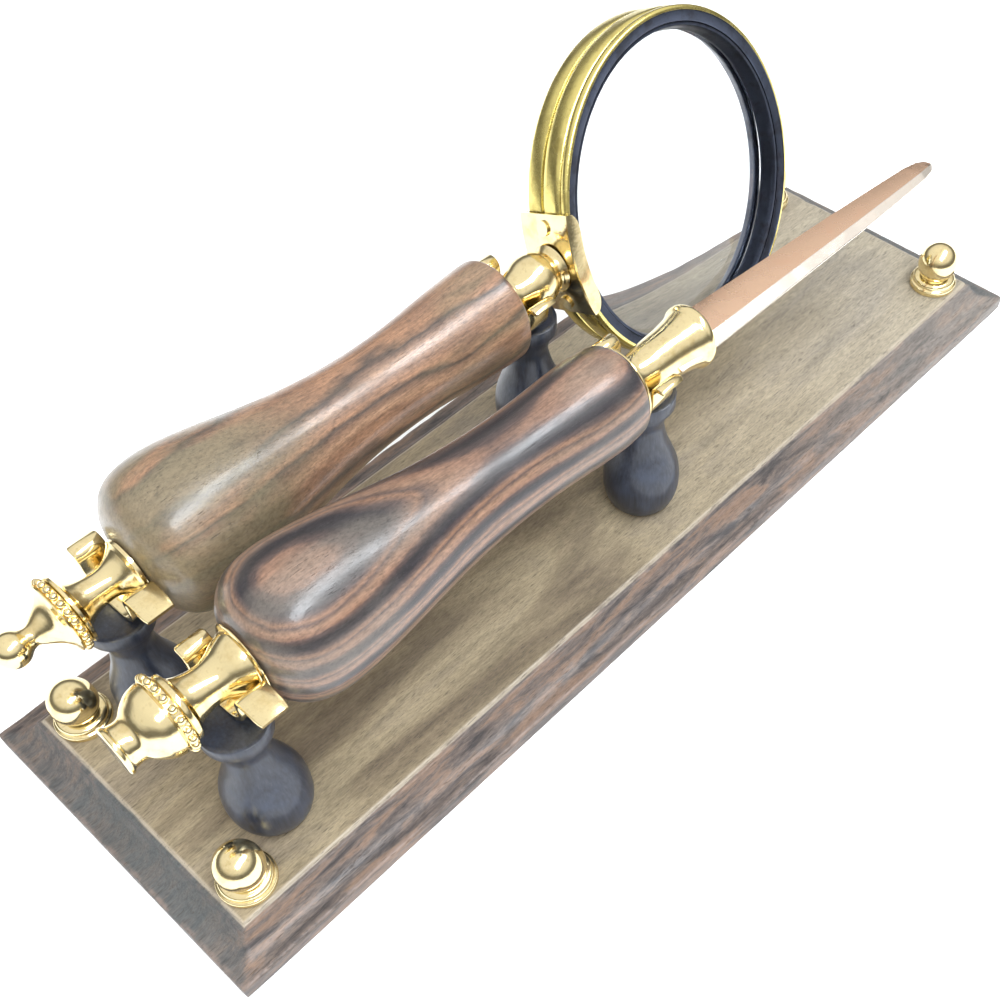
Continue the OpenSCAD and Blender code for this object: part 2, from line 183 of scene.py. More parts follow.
def turned_wood(name, stops, spacing, offset, tilt, warp, tint, tint_amount, darken, bulb_tint):
    """Lacquered wood: growth layers cut by the turned shape, with fibres and pores."""
    m = Mat(name)
    p = m.place()
    x, y, z = m.split(p)
    drift = m.noise(p, (0.012, 0.035, 0.035), 2.0)
    wave = m.noise(p, (0.05, 0.16, 0.16), 2.0)
    h = m.math("ADD", m.math("MULTIPLY", z, math.cos(tilt)), m.math("MULTIPLY", y, math.sin(tilt)))
    h = m.math("ADD", h, m.math("MULTIPLY", m.math("SUBTRACT", drift, 0.5), warp * 2.6))
    h = m.math("ADD", h, m.math("MULTIPLY", m.math("SUBTRACT", wave, 0.5), warp))
    phase = m.math("FRACT", m.math("DIVIDE", m.math("ADD", h, offset), spacing))
    layers = m.ramp(phase, stops)
    fibre = m.noise(p, (0.12, 2.6, 2.6), 5.0, 0.72)
    body = m.mix(0.7, layers, m.ramp(fibre, [(0.32, 0.4), (0.5, 0.85), (0.68, 1.2)]), "MULTIPLY")
    blotch = m.noise(p, (0.02, 0.06, 0.06), 3.0)
    bulb = m.span(x, -58.0, -92.0, 0.0, bulb_tint)
    patch = m.math("MAXIMUM", m.math("MULTIPLY", m.span(blotch, 0.42, 0.62), tint_amount),
                   m.math("MULTIPLY", bulb, m.span(blotch, 0.36, 0.52)))
    body = m.mix(patch, body, tint)
    speckle = m.noise(p, (0.7, 1.5, 1.5), 5.0, 0.75)
    body = m.mix(0.55, body, m.ramp(speckle, [(0.36, 0.42), (0.52, 1.0), (0.66, 1.25)]), "MULTIPLY")
    shade = m.noise(p, (0.028, 0.09, 0.09), 3.0)
    body = m.mix(m.span(shade, 0.5, 0.68, 0.0, darken), body, (0.02, 0.015, 0.015))
    pores = m.span(m.noise(p, (0.22, 5.5, 5.5), 2.0, 0.5), 0.64, 0.72)
    body = m.mix(m.math("MULTIPLY", pores, 0.55), body, (0.015, 0.01, 0.01))
    rub = m.noise(p, (0.09, 0.3, 0.3), 4.0)
    m.set(Base_Color=body, Roughness=m.span(rub, 0.3, 0.75, 0.3, 0.5), Coat_Weight=0.4,
          Coat_Roughness=m.span(rub, 0.3, 0.7, 0.1, 0.24), Specular_IOR_Level=0.6)
    m.bump(m.math("SUBTRACT", m.math("MULTIPLY", fibre, 0.6), pores), 0.09, 0.75)
    return m.m


def board_material():
    m = Mat("board_wood")
    p = m.place()
    x, y, z = m.split(p)
    inset = m.math("MINIMUM", m.math("SUBTRACT", BOARD_LENGTH / 2, m.math("ABSOLUTE", x)),
                   m.math("SUBTRACT", BOARD_WIDTH / 2, m.math("ABSOLUTE", y)))
    on_top = m.span(inset, 9.0, 9.7)
    figure = m.noise(p, (0.013, 0.05, 0.05), 4.0, 0.55, 0.8)
    streak = m.noise(p, (0.05, 0.34, 0.34), 6.0, 0.66, 0.5)
    fibre = m.noise(p, (0.45, 2.3, 2.3), 5.0, 0.78)
    top = m.ramp(figure, [(0.34, (0.150, 0.116, 0.078)), (0.45, (0.225, 0.178, 0.114)),
                          (0.55, (0.300, 0.243, 0.155)), (0.66, (0.230, 0.187, 0.130)),
                          (0.76, (0.155, 0.127, 0.100))])
    # Painted light: the top is lightened towards the +x end, a painted veil of light.
    top = m.mix(m.span(x, -40.0, 150.0, 0.0, 0.5), top, (0.37, 0.345, 0.29))
    top = m.mix(0.45, top, m.ramp(streak, [(0.32, 0.38), (0.5, 0.85), (0.68, 1.2)]), "MULTIPLY")
    grime = m.noise(p, (0.02, 0.02, 0.02), 3.0)
    side = m.ramp(streak, [(0.36, (0.042, 0.036, 0.036)), (0.5, (0.125, 0.098, 0.085)),
                           (0.60, (0.200, 0.130, 0.092)), (0.72, (0.125, 0.108, 0.100))])
    # Painted light: the sides are lightened towards the +x end, a painted veil of light.
    side = m.mix(m.span(x, 20.0, 150.0, 0.0, 0.45), side, (0.27, 0.25, 0.225))
    past_side = m.math("SUBTRACT", m.math("ABSOLUTE", x), m.math("ABSOLUTE", y))
    end_grain = m.span(past_side, MITRE - 1.5, MITRE + 1.5)
    side = m.mix(m.math("MULTIPLY", end_grain, m.span(grime, 0.35, 0.6, 0.45, 0.85)), side,
                 (0.078, 0.086, 0.088))
    body = m.mix(on_top, side, top)
    body = m.mix(0.6, body, m.ramp(fibre, [(0.34, 0.45), (0.5, 0.95), (0.64, 1.3)]), "MULTIPLY")
    wear = m.noise(p, (0.12, 0.12, 0.5), 5.0, 0.7)
    arris = m.math("MULTIPLY", m.span(inset, 8.7, 9.2), m.span(inset, 10.1, 9.5))
    arris = m.math("MULTIPLY", arris, m.span(wear, 0.32, 0.55, 0.25, 0.9))
    body = m.mix(arris, body, (0.36, 0.31, 0.24))
    low_edge = m.math("MULTIPLY", m.span(inset, 1.6, 0.6), m.span(z, 3.4, 4.1))
    low_edge = m.math("MULTIPLY", low_edge, m.span(wear, 0.4, 0.6, 0.0, 0.6))
    body = m.mix(low_edge, body, (0.24, 0.18, 0.15))
    pores = m.span(m.noise(p, (0.32, 3.4, 3.4), 2.0, 0.5), 0.60, 0.70)
    body = m.mix(m.math("MULTIPLY", pores, 0.55), body, (0.045, 0.034, 0.026))
    nick = m.math("MULTIPLY", on_top, m.span(m.cells(p, (0.03, 0.05, 0.05)), 0.05, 0.035))
    body = m.mix(nick, body, (0.62, 0.52, 0.38))
    gloss = m.noise(p, (0.03, 0.08, 0.08), 4.0)
    m.set(Base_Color=body, Roughness=m.span(gloss, 0.3, 0.7, 0.4, 0.6), Specular_IOR_Level=0.4,
          Coat_Weight=0.1, Coat_Roughness=0.25)
    m.bump(m.math("SUBTRACT", m.math("MULTIPLY", streak, 0.7), pores), 0.12, 0.6)
    return m.m


def ebony_material():
    m = Mat("ebonised_wood")
    p = m.place()
    fibre = m.noise(p, (1.6, 1.6, 0.12), 5.0, 0.6)
    cloud = m.noise(p, (0.12, 0.12, 0.12), 3.0)
    body = m.ramp(fibre, [(0.3, (0.010, 0.012, 0.019)), (0.55, (0.020, 0.025, 0.040)),
                          (0.8, (0.042, 0.044, 0.058))])
    body = m.mix(m.span(cloud, 0.45, 0.7, 0.0, 0.5), body, (0.036, 0.050, 0.085))
    m.set(Base_Color=body, Roughness=m.span(cloud, 0.3, 0.7, 0.3, 0.45), Coat_Weight=0.25,
          Coat_Roughness=0.2)
    m.bump(fibre, 0.05, 0.5)
    return m.m


def metal(name, base, tarnish, amount, rough, dents=0.05):
    """Clean metal under clouds of tarnish; dents is the depth of the hand-worked unevenness."""
    m = Mat(name)
    p = m.place()
    cloud = m.noise(p, (0.16, 0.16, 0.16), 4.0, 0.6)
    fine = m.noise(p, (0.9, 0.9, 0.9), 3.0, 0.6)
    scratch = m.noise(p, (7.0, 0.5, 0.5), 2.0, 0.5)
    body = m.mix(m.span(cloud, 0.48, 0.72, 0.0, amount), base, tarnish)
    body = m.mix(m.span(fine, 0.55, 0.75, 0.0, amount * 0.6), body, tarnish)
    m.set(Base_Color=body, Metallic=1.0, Roughness=m.span(cloud, 0.35, 0.7, *rough))
    uneven = m.math("ADD", m.math("MULTIPLY", cloud, 1.6), m.math("MULTIPLY", scratch, 0.06))
    m.bump(uneven, dents, 1.0)
    return m.m


def glass_material():
    m = Mat("lens_glass")
    p = m.place()
    smear = m.noise(p, (0.04, 0.09, 0.09), 3.0, 0.5)
    m.set(Base_Color=m.mix(m.span(smear, 0.3, 0.7), (0.985, 0.995, 1.0), (0.95, 0.98, 0.99)),
          Transmission_Weight=1.0, IOR=1.5, Roughness=m.span(smear, 0.62, 0.8, 0.0, 0.02))
    return m.m


BOARD_WOOD = board_material()
EBONY = ebony_material()
BRASS = metal("polished_brass", base=(0.93, 0.78, 0.44), tarnish=(0.66, 0.46, 0.17),
              amount=0.5, rough=(0.10, 0.22))
RING_BRASS = metal("ring_brass", base=(0.84, 0.71, 0.25), tarnish=(0.50, 0.40, 0.12),
                   amount=0.75, rough=(0.18, 0.32))
STEEL = metal("plain_steel", base=(0.56, 0.56, 0.58), tarnish=(0.32, 0.3, 0.28),
              amount=0.6, rough=(0.25, 0.4))
# Painted reflection: the blade is one metal, but its wide facets get a copper-orange colour and its
# ridge and narrow bevels a pale one, for what each reflects.
FACET_PAINTED_REFLECTION = metal("blade_facet_painted_reflection", base=(0.98, 0.66, 0.46), tarnish=(0.97, 0.58, 0.38),
               amount=0.35, rough=(0.22, 0.34), dents=0.01)
BEVEL_PAINTED_REFLECTION = metal("blade_bevel_painted_reflection", base=(0.97, 0.88, 0.78), tarnish=(0.92, 0.74, 0.58),
              amount=0.4, rough=(0.14, 0.24), dents=0.02)
BLACKENED = metal("blackened_metal", base=(0.06, 0.07, 0.10), tarnish=(0.03, 0.03, 0.035),
                  amount=0.7, rough=(0.3, 0.45))
LENS = glass_material()
GLASS_WOOD = turned_wood(
    "glass_handle_wood",
    [(0.0, (0.32, 0.170, 0.095)), (0.3, (0.22, 0.120, 0.072)), (0.5, (0.34, 0.200, 0.120)),
     (0.72, (0.20, 0.115, 0.075)), (0.86, (0.075, 0.052, 0.040)), (1.0, (0.32, 0.170, 0.095))],
    spacing=7.5, offset=60.0, tilt=math.radians(35), warp=4.5, tint=(0.150, 0.126, 0.076),
    tint_amount=0.6, darken=0.5, bulb_tint=0.85)
OPENER_WOOD = turned_wood(
    "opener_handle_wood",
    [(0.0, (0.020, 0.016, 0.018)), (0.14, (0.075, 0.045, 0.038)), (0.22, (0.22, 0.120, 0.078)),
     (0.38, (0.26, 0.150, 0.095)), (0.52, (0.10, 0.062, 0.050)), (0.60, (0.24, 0.130, 0.080)),
     (0.72, (0.085, 0.055, 0.048)), (0.84, (0.020, 0.016, 0.020)), (1.0, (0.020, 0.016, 0.018))],
    spacing=5.2, offset=57.6, tilt=math.radians(-6), warp=1.5, tint=(0.17, 0.145, 0.120),
    tint_amount=0.45, darken=0.2, bulb_tint=0.0)

# ---------- mesh building ----------


def smooth(points, n=6):
    """Catmull-Rom curve through [along, radius] points."""
    out = []
    last = len(points) - 1
    for i in range(last):
        a, b, c, d = (points[max(0, min(last, i + k))] for k in (-1, 0, 1, 2))
        for k in range(n):
            t = k / n
            out.append(tuple(0.5 * (2 * b[j] + (c[j] - a[j]) * t
                                    + (2 * a[j] - 5 * b[j] + 4 * c[j] - d[j]) * t * t
                                    + (3 * b[j] - a[j] - 3 * c[j] + d[j]) * t ** 3)
                             for j in (0, 1)))
    out.append(tuple(points[last]))
    return out


SHARP_ANGLE = 38.0


def finish_piece(bm, name, matrix, body, nodes, material, angle=SHARP_ANGLE):
    """Turns the built mesh into a piece that rides its body and stands for its CAD nodes."""
    bmesh.ops.recalc_face_normals(bm, faces=bm.faces)
    me = bpy.data.meshes.new(name)
    bm.to_mesh(me)
    bm.free()
    for poly in me.polygons:
        poly.use_smooth = True
    me.set_sharp_from_angle(angle=math.radians(angle))
    for one in material if isinstance(material, (list, tuple)) else [material]:
        me.materials.append(one)
    o = bpy.data.objects.new(name, me)
    bpy.context.scene.collection.objects.link(o)
    o.matrix_world = matrix
    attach(o, body)
    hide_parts(*nodes)
    return o


AXES = {"x": lambda a, r, c, s: (a, r * c, r * s), "z": lambda a, r, c, s: (r * c, r * s, a)}


def revolve(bm, points, axis="x", segments=120, closed=False):
    """Adds a solid of revolution; closed joins the last point to the first, as a ring has."""
    at = AXES[axis]
    rings = []
    for a, r in points:
        if r < 0.02 and not closed:
            rings.append([bm.verts.new(Vector(at(a, 0, 0, 0)) * MM)])
            continue
        rings.append([bm.verts.new(Vector(at(a, r, math.cos(t), math.sin(t))) * MM)
                      for t in (2 * math.pi * k / segments for k in range(segments))])
    pairs = list(zip(rings, rings[1:])) + ([(rings[-1], rings[0])] if closed else [])
    for p, q in pairs:
        for k in range(segments):
            j = (k + 1) % segments
            if len(p) == 1 and len(q) > 1:
                bm.faces.new((p[0], q[j], q[k]))
            elif len(q) == 1 and len(p) > 1:
                bm.faces.new((p[k], p[j], q[0]))
            elif len(p) > 1:
                bm.faces.new((p[k], p[j], q[j], q[k]))
    if not closed:
        for ring in (rings[0], rings[-1]):
            if len(ring) > 1:
                bm.faces.new(ring)


def turned(name, points, matrix, body, nodes, slot, material, axis="x", segments=120,
           closed=False, angle=SHARP_ANGLE):
    bm = bmesh.new()
    revolve(bm, points, axis, segments, closed)
    return finish_piece(bm, name, matrix, body, nodes, material, angle)


# ---------- board ----------


def cove():
    """Moulded edge: [inset from the side, height] from the underside to the flat top."""
    steps, radius, centre_in, centre_up = 14, 6.5, 1.8, 10.7
    pts = [(0.35, 0.0), (0.08, 0.1), (0.0, 0.4), (0.0, 1.4), (0.0, 2.6), (0.0, 3.6),
           (0.08, 3.95), (0.35, 4.15), (0.8, 4.2)]
    for k in range(steps + 1):
        t = math.radians(2 + 73 * k / steps)
        pts.append((centre_in + radius * math.sin(t), centre_up - radius * math.cos(t)))
    pts += [(8.35, 9.14), (8.85, 9.18), (9.1, 9.26), (9.22, 9.45), (9.26, 9.7), (9.4, 9.9),
            (9.75, 9.98), (10.6, 10.0)]
    return pts


def build_board():
    bm = bmesh.new()
    profile = cove()
    step = 1.6
    loop = []
    hx, hy = BOARD_LENGTH / 2, BOARD_WIDTH / 2
    corners = [(-1, -1), (1, -1), (1, 1), (-1, 1)]
    for i, a in enumerate(corners):
        b = corners[(i + 1) % 4]
        n = round(math.hypot((b[0] - a[0]) * hx, (b[1] - a[1]) * hy) / step)
        loop += [(a[0] + (b[0] - a[0]) * k / n, a[1] + (b[1] - a[1]) * k / n) for k in range(n)]
    rings = []
    for inset, z in profile:
        ring = []
        # The two raised arrises are worn more than the rest.
        worn = 1.0 if 8.9 < inset < 9.9 or z > 3.5 and inset < 0.9 else 0.22
        for u, v in loop:
            x, y = u * (hx - inset), v * (hy - inset)
            p = Vector((x * 0.16, y * 0.16, z * 0.3))
            chip = (max(0.0, noise.noise(p) - 0.12) * 0.9
                    + max(0.0, noise.noise(p * 4.0) - 0.3) * 0.5)
            pull = worn * 0.42 * chip + 0.03 * abs(noise.noise(p * 2.0))
            pull += max(0.0, abs(u) + abs(v) - 1.975) * 4.2  # the corners are rounded
            ring.append(bm.verts.new(Vector((x - math.copysign(pull, x) * (abs(u) > 0.999),
                                             y - math.copysign(pull, y) * (abs(v) > 0.999),
                                             max(0.0, z - (0.5 * pull if z > 3.5 else 0.0)))) * MM))
        rings.append(ring)
    for p, q in zip(rings, rings[1:]):
        for k in range(len(loop)):
            j = (k + 1) % len(loop)
            bm.faces.new((p[k], p[j], q[j], q[k]))
    bm.faces.new(rings[0])
    bm.faces.new(rings[-1])
    finish_piece(bm, "board_moulded", Matrix.Identity(4), STAND, ["board"],
                 BOARD_WOOD, 50)


# ---------- posts, cradles, knobs ----------

# [height, radius]: foot, bulb, waist and cap.
POST = [(0.02, 6.8)] + smooth(
    [(0, 7.1), (1.6, 8.7), (5, 9.75), (9, 10), (13, 9.5), (17, 8.1), (21, 6.5), (25, 5.5),
     (27.6, 5.2), (30.6, 5.9), (32.6, 6.2), (33.4, 7.3)], 6) + [
    (33.62, 7.72), (33.9, 7.8), (35.2, 7.76), (36.7, 7.8), (37.0, 7.68), (37.2, 7.3),
    (37.12, 6.6), (37.1, 3.0), (37.1, 0.0)]


def build_posts():
    for i, (x, y) in enumerate(POST_PLACES, 1):
        turned(f"post_turned_{i}", POST, shift(x, y, BOARD_TOP), STAND, [f"post_{i}"],
               "ebonised_wood", EBONY, "z", 96)


THROAT, BEND_R, ARM_HEIGHT, LIP_R = 7.6, 6.0, 8.6, 2.0


def arm_line(reach, arm):
    """Centre line of one cradle arm, [out, up], from the foot to the end of its lip."""
    mid = BEND_R + STRIP_T / 2
    wall = THROAT + STRIP_T / 2
    pts = [(THROAT - BEND_R + mid * math.sin(a), mid - mid * math.cos(a))
           for a in (math.radians(d) for d in range(0, 91, 6))]
    if arm > 8:  # only a tall arm has room for points on its straight part
        pts += [(wall, z) for z in (7.2, 7.9)]
    pts += [(wall + LIP_R - LIP_R * math.cos(a), arm + LIP_R * math.sin(a))
            for a in (math.radians(d) for d in range(0, 90, 9))]
    start, drop = (wall + LIP_R + 0.4, arm + LIP_R), (reach - LIP_R) / 6 + 0.2
    end = (wall + reach, arm + LIP_R - drop)
    n = max(2, round(reach - LIP_R))
    pts += [(start[0] + (end[0] - start[0]) * k / n,
             start[1] + (end[1] - start[1]) * (k / n) ** 1.4) for k in range(n + 1)]
    return pts


def build_cradle(i, x, y, near_reach, far_rise):
    near, far = arm_line(near_reach, ARM_HEIGHT), arm_line(SHORT_LIP, ARM_HEIGHT + far_rise)
    line = [(-a, b) for a, b in reversed(near)] + far
    bm = bmesh.new()
    across = [(-1.0, -0.62), (-1.0, 0.62), (-0.93, 1.0), (0.93, 1.0), (1.0, 0.62),
              (1.0, -0.62), (0.93, -1.0), (-0.93, -1.0)]
    rows = []
    last = len(line) - 1
    for k, (a, b) in enumerate(line):
        p, q = line[max(0, k - 1)], line[min(last, k + 1)]
        t = Vector((q[0] - p[0], q[1] - p[1])).normalized()
        n = Vector((-t.y, t.x))
        edge = min(k, last - k)
        width = STRIP_W / 2 * (1.0 if edge > 1 else 0.97 if edge == 1 else 0.9)
        wobble = 0.05 * noise.noise(Vector((a * 0.3, b * 0.3, i * 7.0)))
        rows.append([bm.verts.new(Vector((u * width + wobble, a + n.x * v * STRIP_T / 2,
                                          b + n.y * v * STRIP_T / 2)) * MM) for u, v in across])
    for p, q in zip(rows, rows[1:]):
        for k in range(len(across)):
            j = (k + 1) % len(across)
            bm.faces.new((p[k], p[j], q[j], q[k]))
    bm.faces.new(rows[0])
    bm.faces.new(rows[-1])
    finish_piece(bm, f"cradle_bent_{i}", shift(x, y, POST_TOP + STRIP_T / 2), STAND,
                 [f"cradle_{i}"], BRASS, 50)


def build_knobs():
    ball_r, ball_height = 5.8, 7.6
    ball = [(ball_height - ball_r * math.cos(t), ball_r * math.sin(t))
            for t in (math.radians(48 + 132 * k / 30) for k in range(31))]
    points = [(0.0, 6.5), (0.1, 6.75), (0.4, 6.88), (1.0, 6.9), (1.5, 6.88), (1.72, 6.7),
              (1.82, 6.45), (1.95, 6.3), (2.3, 6.28), (2.8, 6.2), (3.15, 5.95), (3.4, 5.4),
              (3.6, 4.7)] + ball
    for i, (x, y) in enumerate(KNOB_PLACES, 1):
        turned(f"knob_turned_{i}", points, shift(x, y, BOARD_TOP), STAND, [f"knob_{i}"],
               "polished_brass", BRASS, "z", 96)


# ---------- beads ----------


def build_bead_ring(name, x0, x1, bore, r, count, matrix, body, node):
    bead = 0.44 * (x1 - x0)
    bm = bmesh.new()
    mid = (x0 + x1) / 2
    revolve(bm, [(x0, bore), (x0, r - 0.25), (x0 + 0.2, r), (x0 + 0.5, r - 0.1), (mid, r - 0.25),
                 (x1 - 0.5, r - 0.1), (x1 - 0.2, r), (x1, r - 0.25), (x1, bore)], "x", 120)
    for k in range(count):
        t = 2 * math.pi * k / count
        at = Matrix.Translation(Vector((mid, r * math.cos(t), r * math.sin(t))) * MM)
        bmesh.ops.create_uvsphere(bm, u_segments=20, v_segments=12, radius=bead * MM, matrix=at)
    finish_piece(bm, name, matrix, body, [node], BRASS)


# ---------- magnifying glass ----------

# [along, radius] in the tool's own frame, from the pommel's end to the ring.
GLASS_POMMEL = [
    (-145.6 - 4 * math.cos(t), 4 * math.sin(t)) for t in (math.radians(a) for a in range(0, 136, 7))
] + smooth([(-142.2, 2.5), (-141, 2.3), (-139.4, 3.2), (-137, 4.9), (-135.6, 6.6)]) + [
    (-135.3, 7.8), (-135.15, 8.1), (-134.9, 8.2), (-134.85, 7.6), (-134.8, 6.65), (-132.5, 6.65),
    (-132.4, 7.7), (-132.2, 8), (-131.6, 8), (-131.4, 7.7), (-131.1, 6.4)
] + smooth([(-130.6, 5.4), (-128.2, 4.1), (-125, 3.5), (-122.4, 3.6), (-120.2, 4.6),
            (-118.4, 6)]) + [(-118.0, 6.6), (-117.8, 6.8), (-117.0, 6.8), (-116.85, 6.6)]
GLASS_HANDLE = smooth(
    [(-116.6, 6.4), (-116, 9.5), (-114.9, 12.4), (-112.3, 15.5), (-109, 17.2), (-105, 17.9),
     (-100.5, 18), (-95.5, 17.5), (-88, 16.2), (-78, 14.2), (-68, 12.5), (-57, 11.3),
     (-46, 10.9), (-37, 11.1), (-28, 11.8), (-20, 12.4), (-13, 12.8), (-10, 12.8)], 8) + [
    (-9.6, 12.76), (-9.2, 12.62), (-8.9, 12.4), (-8.6, 12.05), (-8.35, 11.5), (-8.32, 9.0)]
GLASS_WASHER = [(-8.25, 9.2), (-8.2, 9.6), (-7.95, 9.95), (-7.7, 10), (-7.5, 9.9), (-7.2, 8.8),
                (-6.9, 7.2)]
GLASS_COLLAR = [(-6.85, 6.6), (-6.6, 6.85), (-6.2, 6.9), (-5.8, 6.6), (-5.5, 6.0)] + smooth(
    [(-4.8, 5.2), (-3, 5), (-1, 5.5), (2, 6.6), (4.8, 6.9), (7.4, 6.3), (9.4, 5.1),
     (10.4, 5.2)]) + [(10.9, 5.7), (11.5, 6.15)]
CHEEK_INSET = 3.1  # how far the saddle's cheeks reach in over the ring's faces
SADDLE_HALF_WIDTH = 13


def build_glass():
    put = dict(matrix=GLASS_FRAME, body=GLASS)
    brass = dict(slot="polished_brass", material=BRASS)
    turned("glass_pommel_turned", GLASS_POMMEL, nodes=["glass_pommel"], **put, **brass)
    build_bead_ring("glass_bead_ring_turned", x0=-134.75, x1=-132.55, bore=6.8, r=7.88,
                    count=24, matrix=GLASS_FRAME, body=GLASS, node="glass_bead_ring")
    turned("glass_handle_turned", GLASS_HANDLE, nodes=["glass_handle"], slot="glass_handle_wood",
           material=GLASS_WOOD, segments=160, angle=60, **put)
    turned("glass_washer_turned", GLASS_WASHER, nodes=["glass_washer"], **put, **brass)
    turned("glass_collar_turned", GLASS_COLLAR, nodes=["glass_collar"], **put, **brass)
    build_lens_ring()
    build_saddle()


def build_lens_ring():
    put = dict(matrix=RING_FRAME, body=GLASS)
    h = RING_DEPTH / 2
    ring = [(-h, LENS_R + 0.15), (-h, RING_R - 1.2), (-h + 0.12, RING_R - 0.85),
            (-h + 0.5, RING_R - 0.55), (-h + 1.2, RING_R - 0.4), (-2.4, RING_R - 0.3),
            (-2.05, RING_R - 0.45), (-1.85, RING_R - 0.9), (-1.5, RING_R - 1.0),
            (-1.2, RING_R - 0.9), (-1.0, RING_R - 0.35), (-0.6, RING_R - 0.1),
            (0.5, RING_R - 0.02), (1.8, RING_R), (3.2, RING_R - 0.03), (4.0, RING_R - 0.2),
            (4.5, RING_R - 0.6), (4.7, RING_R - 0.95), (4.95, RING_R - 1.0),
            (5.2, RING_R - 0.6), (5.5, RING_R - 0.15),
            (5.9, RING_R), (6.7, RING_R), (7.1, RING_R - 0.15), (7.35, RING_R - 0.4),
            (h, RING_R - 0.7), (h, RING_R - 1.15), (h - 0.25, RING_R - 1.35),
            (h - 0.3, LENS_R + 0.6), (h - 0.5, LENS_R + 0.15)]
    o = turned("glass_ring_turned", ring, nodes=["glass_ring"], slot="polished_brass",
               material=[RING_BRASS, BLACKENED], axis="z", segments=220, closed=True, **put)
    for poly in o.data.polygons:
        x, y, _ = poly.center / MM
        if math.hypot(x, y) < RING_R - 1.25:  # the bore and inner lip are blackened
            poly.material_index = 1
    for sign, side in ((1, "front"), (-1, "rear")):
        keeper = [(2.25, LENS_R - 1.5), (2.25, LENS_R - 0.05), (h - 0.65, LENS_R - 0.05),
                  (h - 0.6, LENS_R - 0.3), (h - 0.65, LENS_R - 0.7), (h - 0.9, LENS_R - 0.85),
                  (h - 2.2, LENS_R - 1.15), (h - 4.1, LENS_R - 1.5), (h - 4.4, LENS_R - 1.6)]
        turned(f"glass_retainer_{side}_turned", [(sign * a, r) for a, r in keeper],
               nodes=[f"glass_retainer_{side}"], slot="blackened_metal", material=BLACKENED,
               axis="z", segments=220, closed=True, **put)
    edge, rim = 1.55, LENS_R - 0.2
    rise = LENS_T / 2 - edge
    q = (rim * rim + rise * rise) / (2 * rise)  # radius of each ground face
    half = [(LENS_T / 2 - q + math.sqrt(q * q - r * r), r)
            for r in (rim * k / 28 for k in range(29))]
    turned("glass_lens_ground", [(-a, r) for a, r in half] + [(a, r) for a, r in reversed(half)],
           nodes=["glass_lens"], slot="lens_glass", material=LENS, axis="z", segments=180, **put)


def build_saddle():
    """Folded plate that grips the rim: an outer wall with a cheek on each face."""
    bm = bmesh.new()
    inner, outer, h = RING_R + 0.1, RING_R + 1.3, RING_DEPTH / 2
    tip = RING_R - CHEEK_INSET
    section = [(tip, h + 1.2), (outer - 0.5, h + 1.3), (outer - 0.12, h + 1.12),
               (outer, h + 0.7), (outer, h * 0.4), (outer, -h * 0.4), (outer, -h - 0.7),
               (outer - 0.12, -h - 1.12), (outer - 0.5, -h - 1.3), (tip, -h - 1.2),
               (tip, -h - 0.15), (inner, -h - 0.12), (inner, h + 0.12), (tip, h + 0.15)]
    rows = []
    count = 36
    reach = math.asin(SADDLE_HALF_WIDTH / outer)
    for k in range(count + 1):
        t = reach * (2 * k / count - 1)
        row = []
        for r, v in section:
            rr = r if r > RING_R - 1 else tip + 2.4 * abs(t / reach) ** 8
            row.append(bm.verts.new(Vector((-rr * math.cos(t), rr * math.sin(t), v)) * MM))
        rows.append(row)
    for p, q in zip(rows, rows[1:]):
        for k in range(len(section)):
            j = (k + 1) % len(section)
            bm.faces.new((p[k], p[j], q[j], q[k]))
    bm.faces.new(rows[0])
    bm.faces.new(rows[-1])
    finish_piece(bm, "glass_saddle_folded", RING_FRAME, GLASS, ["glass_saddle"],
                 BRASS, 40)


# ---------- letter opener ----------

# [along, radius] in the tool's own frame, from the pommel's end to the blade.
OPENER_POMMEL = [
    (-146.15, 4.0), (-146.15, 4.9), (-146.0, 5.3), (-145.8, 5.48), (-145.3, 5.5), (-145.0, 5.3),
    (-144.8, 5.05)
] + smooth([(-144.4, 4.9), (-142.8, 4.7), (-141.6, 5), (-140.2, 6.3), (-138, 7.7), (-136, 8.2),
            (-135.2, 8.28)]) + [
    (-135.0, 8.1), (-134.95, 7.3), (-132.5, 7.3), (-132.35, 7.5), (-132.1, 7.6), (-131.3, 7.6),
    (-131.0, 7.4), (-130.7, 6.5)
] + smooth([(-130.2, 5.7), (-128.6, 5), (-126, 4.5), (-123.6, 4.5), (-121.6, 5.1), (-119.8, 6),
            (-118.4, 6.6), (-117.2, 7.0), (-116.5, 7.1)]) + [
    (-116.36, 7.5), (-116.25, 8.2), (-116.1, 8.5), (-115.9, 8.58), (-115.78, 8.4)]
OPENER_HANDLE = smooth(
    [(-115.6, 7.2), (-115, 9.4), (-113.6, 12), (-110.6, 14.8), (-106.6, 16.5), (-102, 17.1),
     (-97, 17), (-91, 16.4), (-83, 15.3), (-74, 13.9), (-64, 12.5), (-53, 11.6), (-43, 11.3),
     (-33, 11.5), (-24, 12), (-17, 12.2), (-12.4, 11.9), (-10.4, 11.58)], 8) + [
    (-9.9, 11.45), (-9.5, 11.25), (-9.2, 11.0), (-8.95, 10.6), (-8.82, 10.1), (-8.8, 8.4)]
OPENER_WASHER = [(-8.72, 9.2), (-8.66, 9.85), (-8.45, 10.25), (-8.2, 10.3), (-7.95, 10.2),
                 (-7.75, 9.2), (-7.55, 8), (-7.4, 7)]
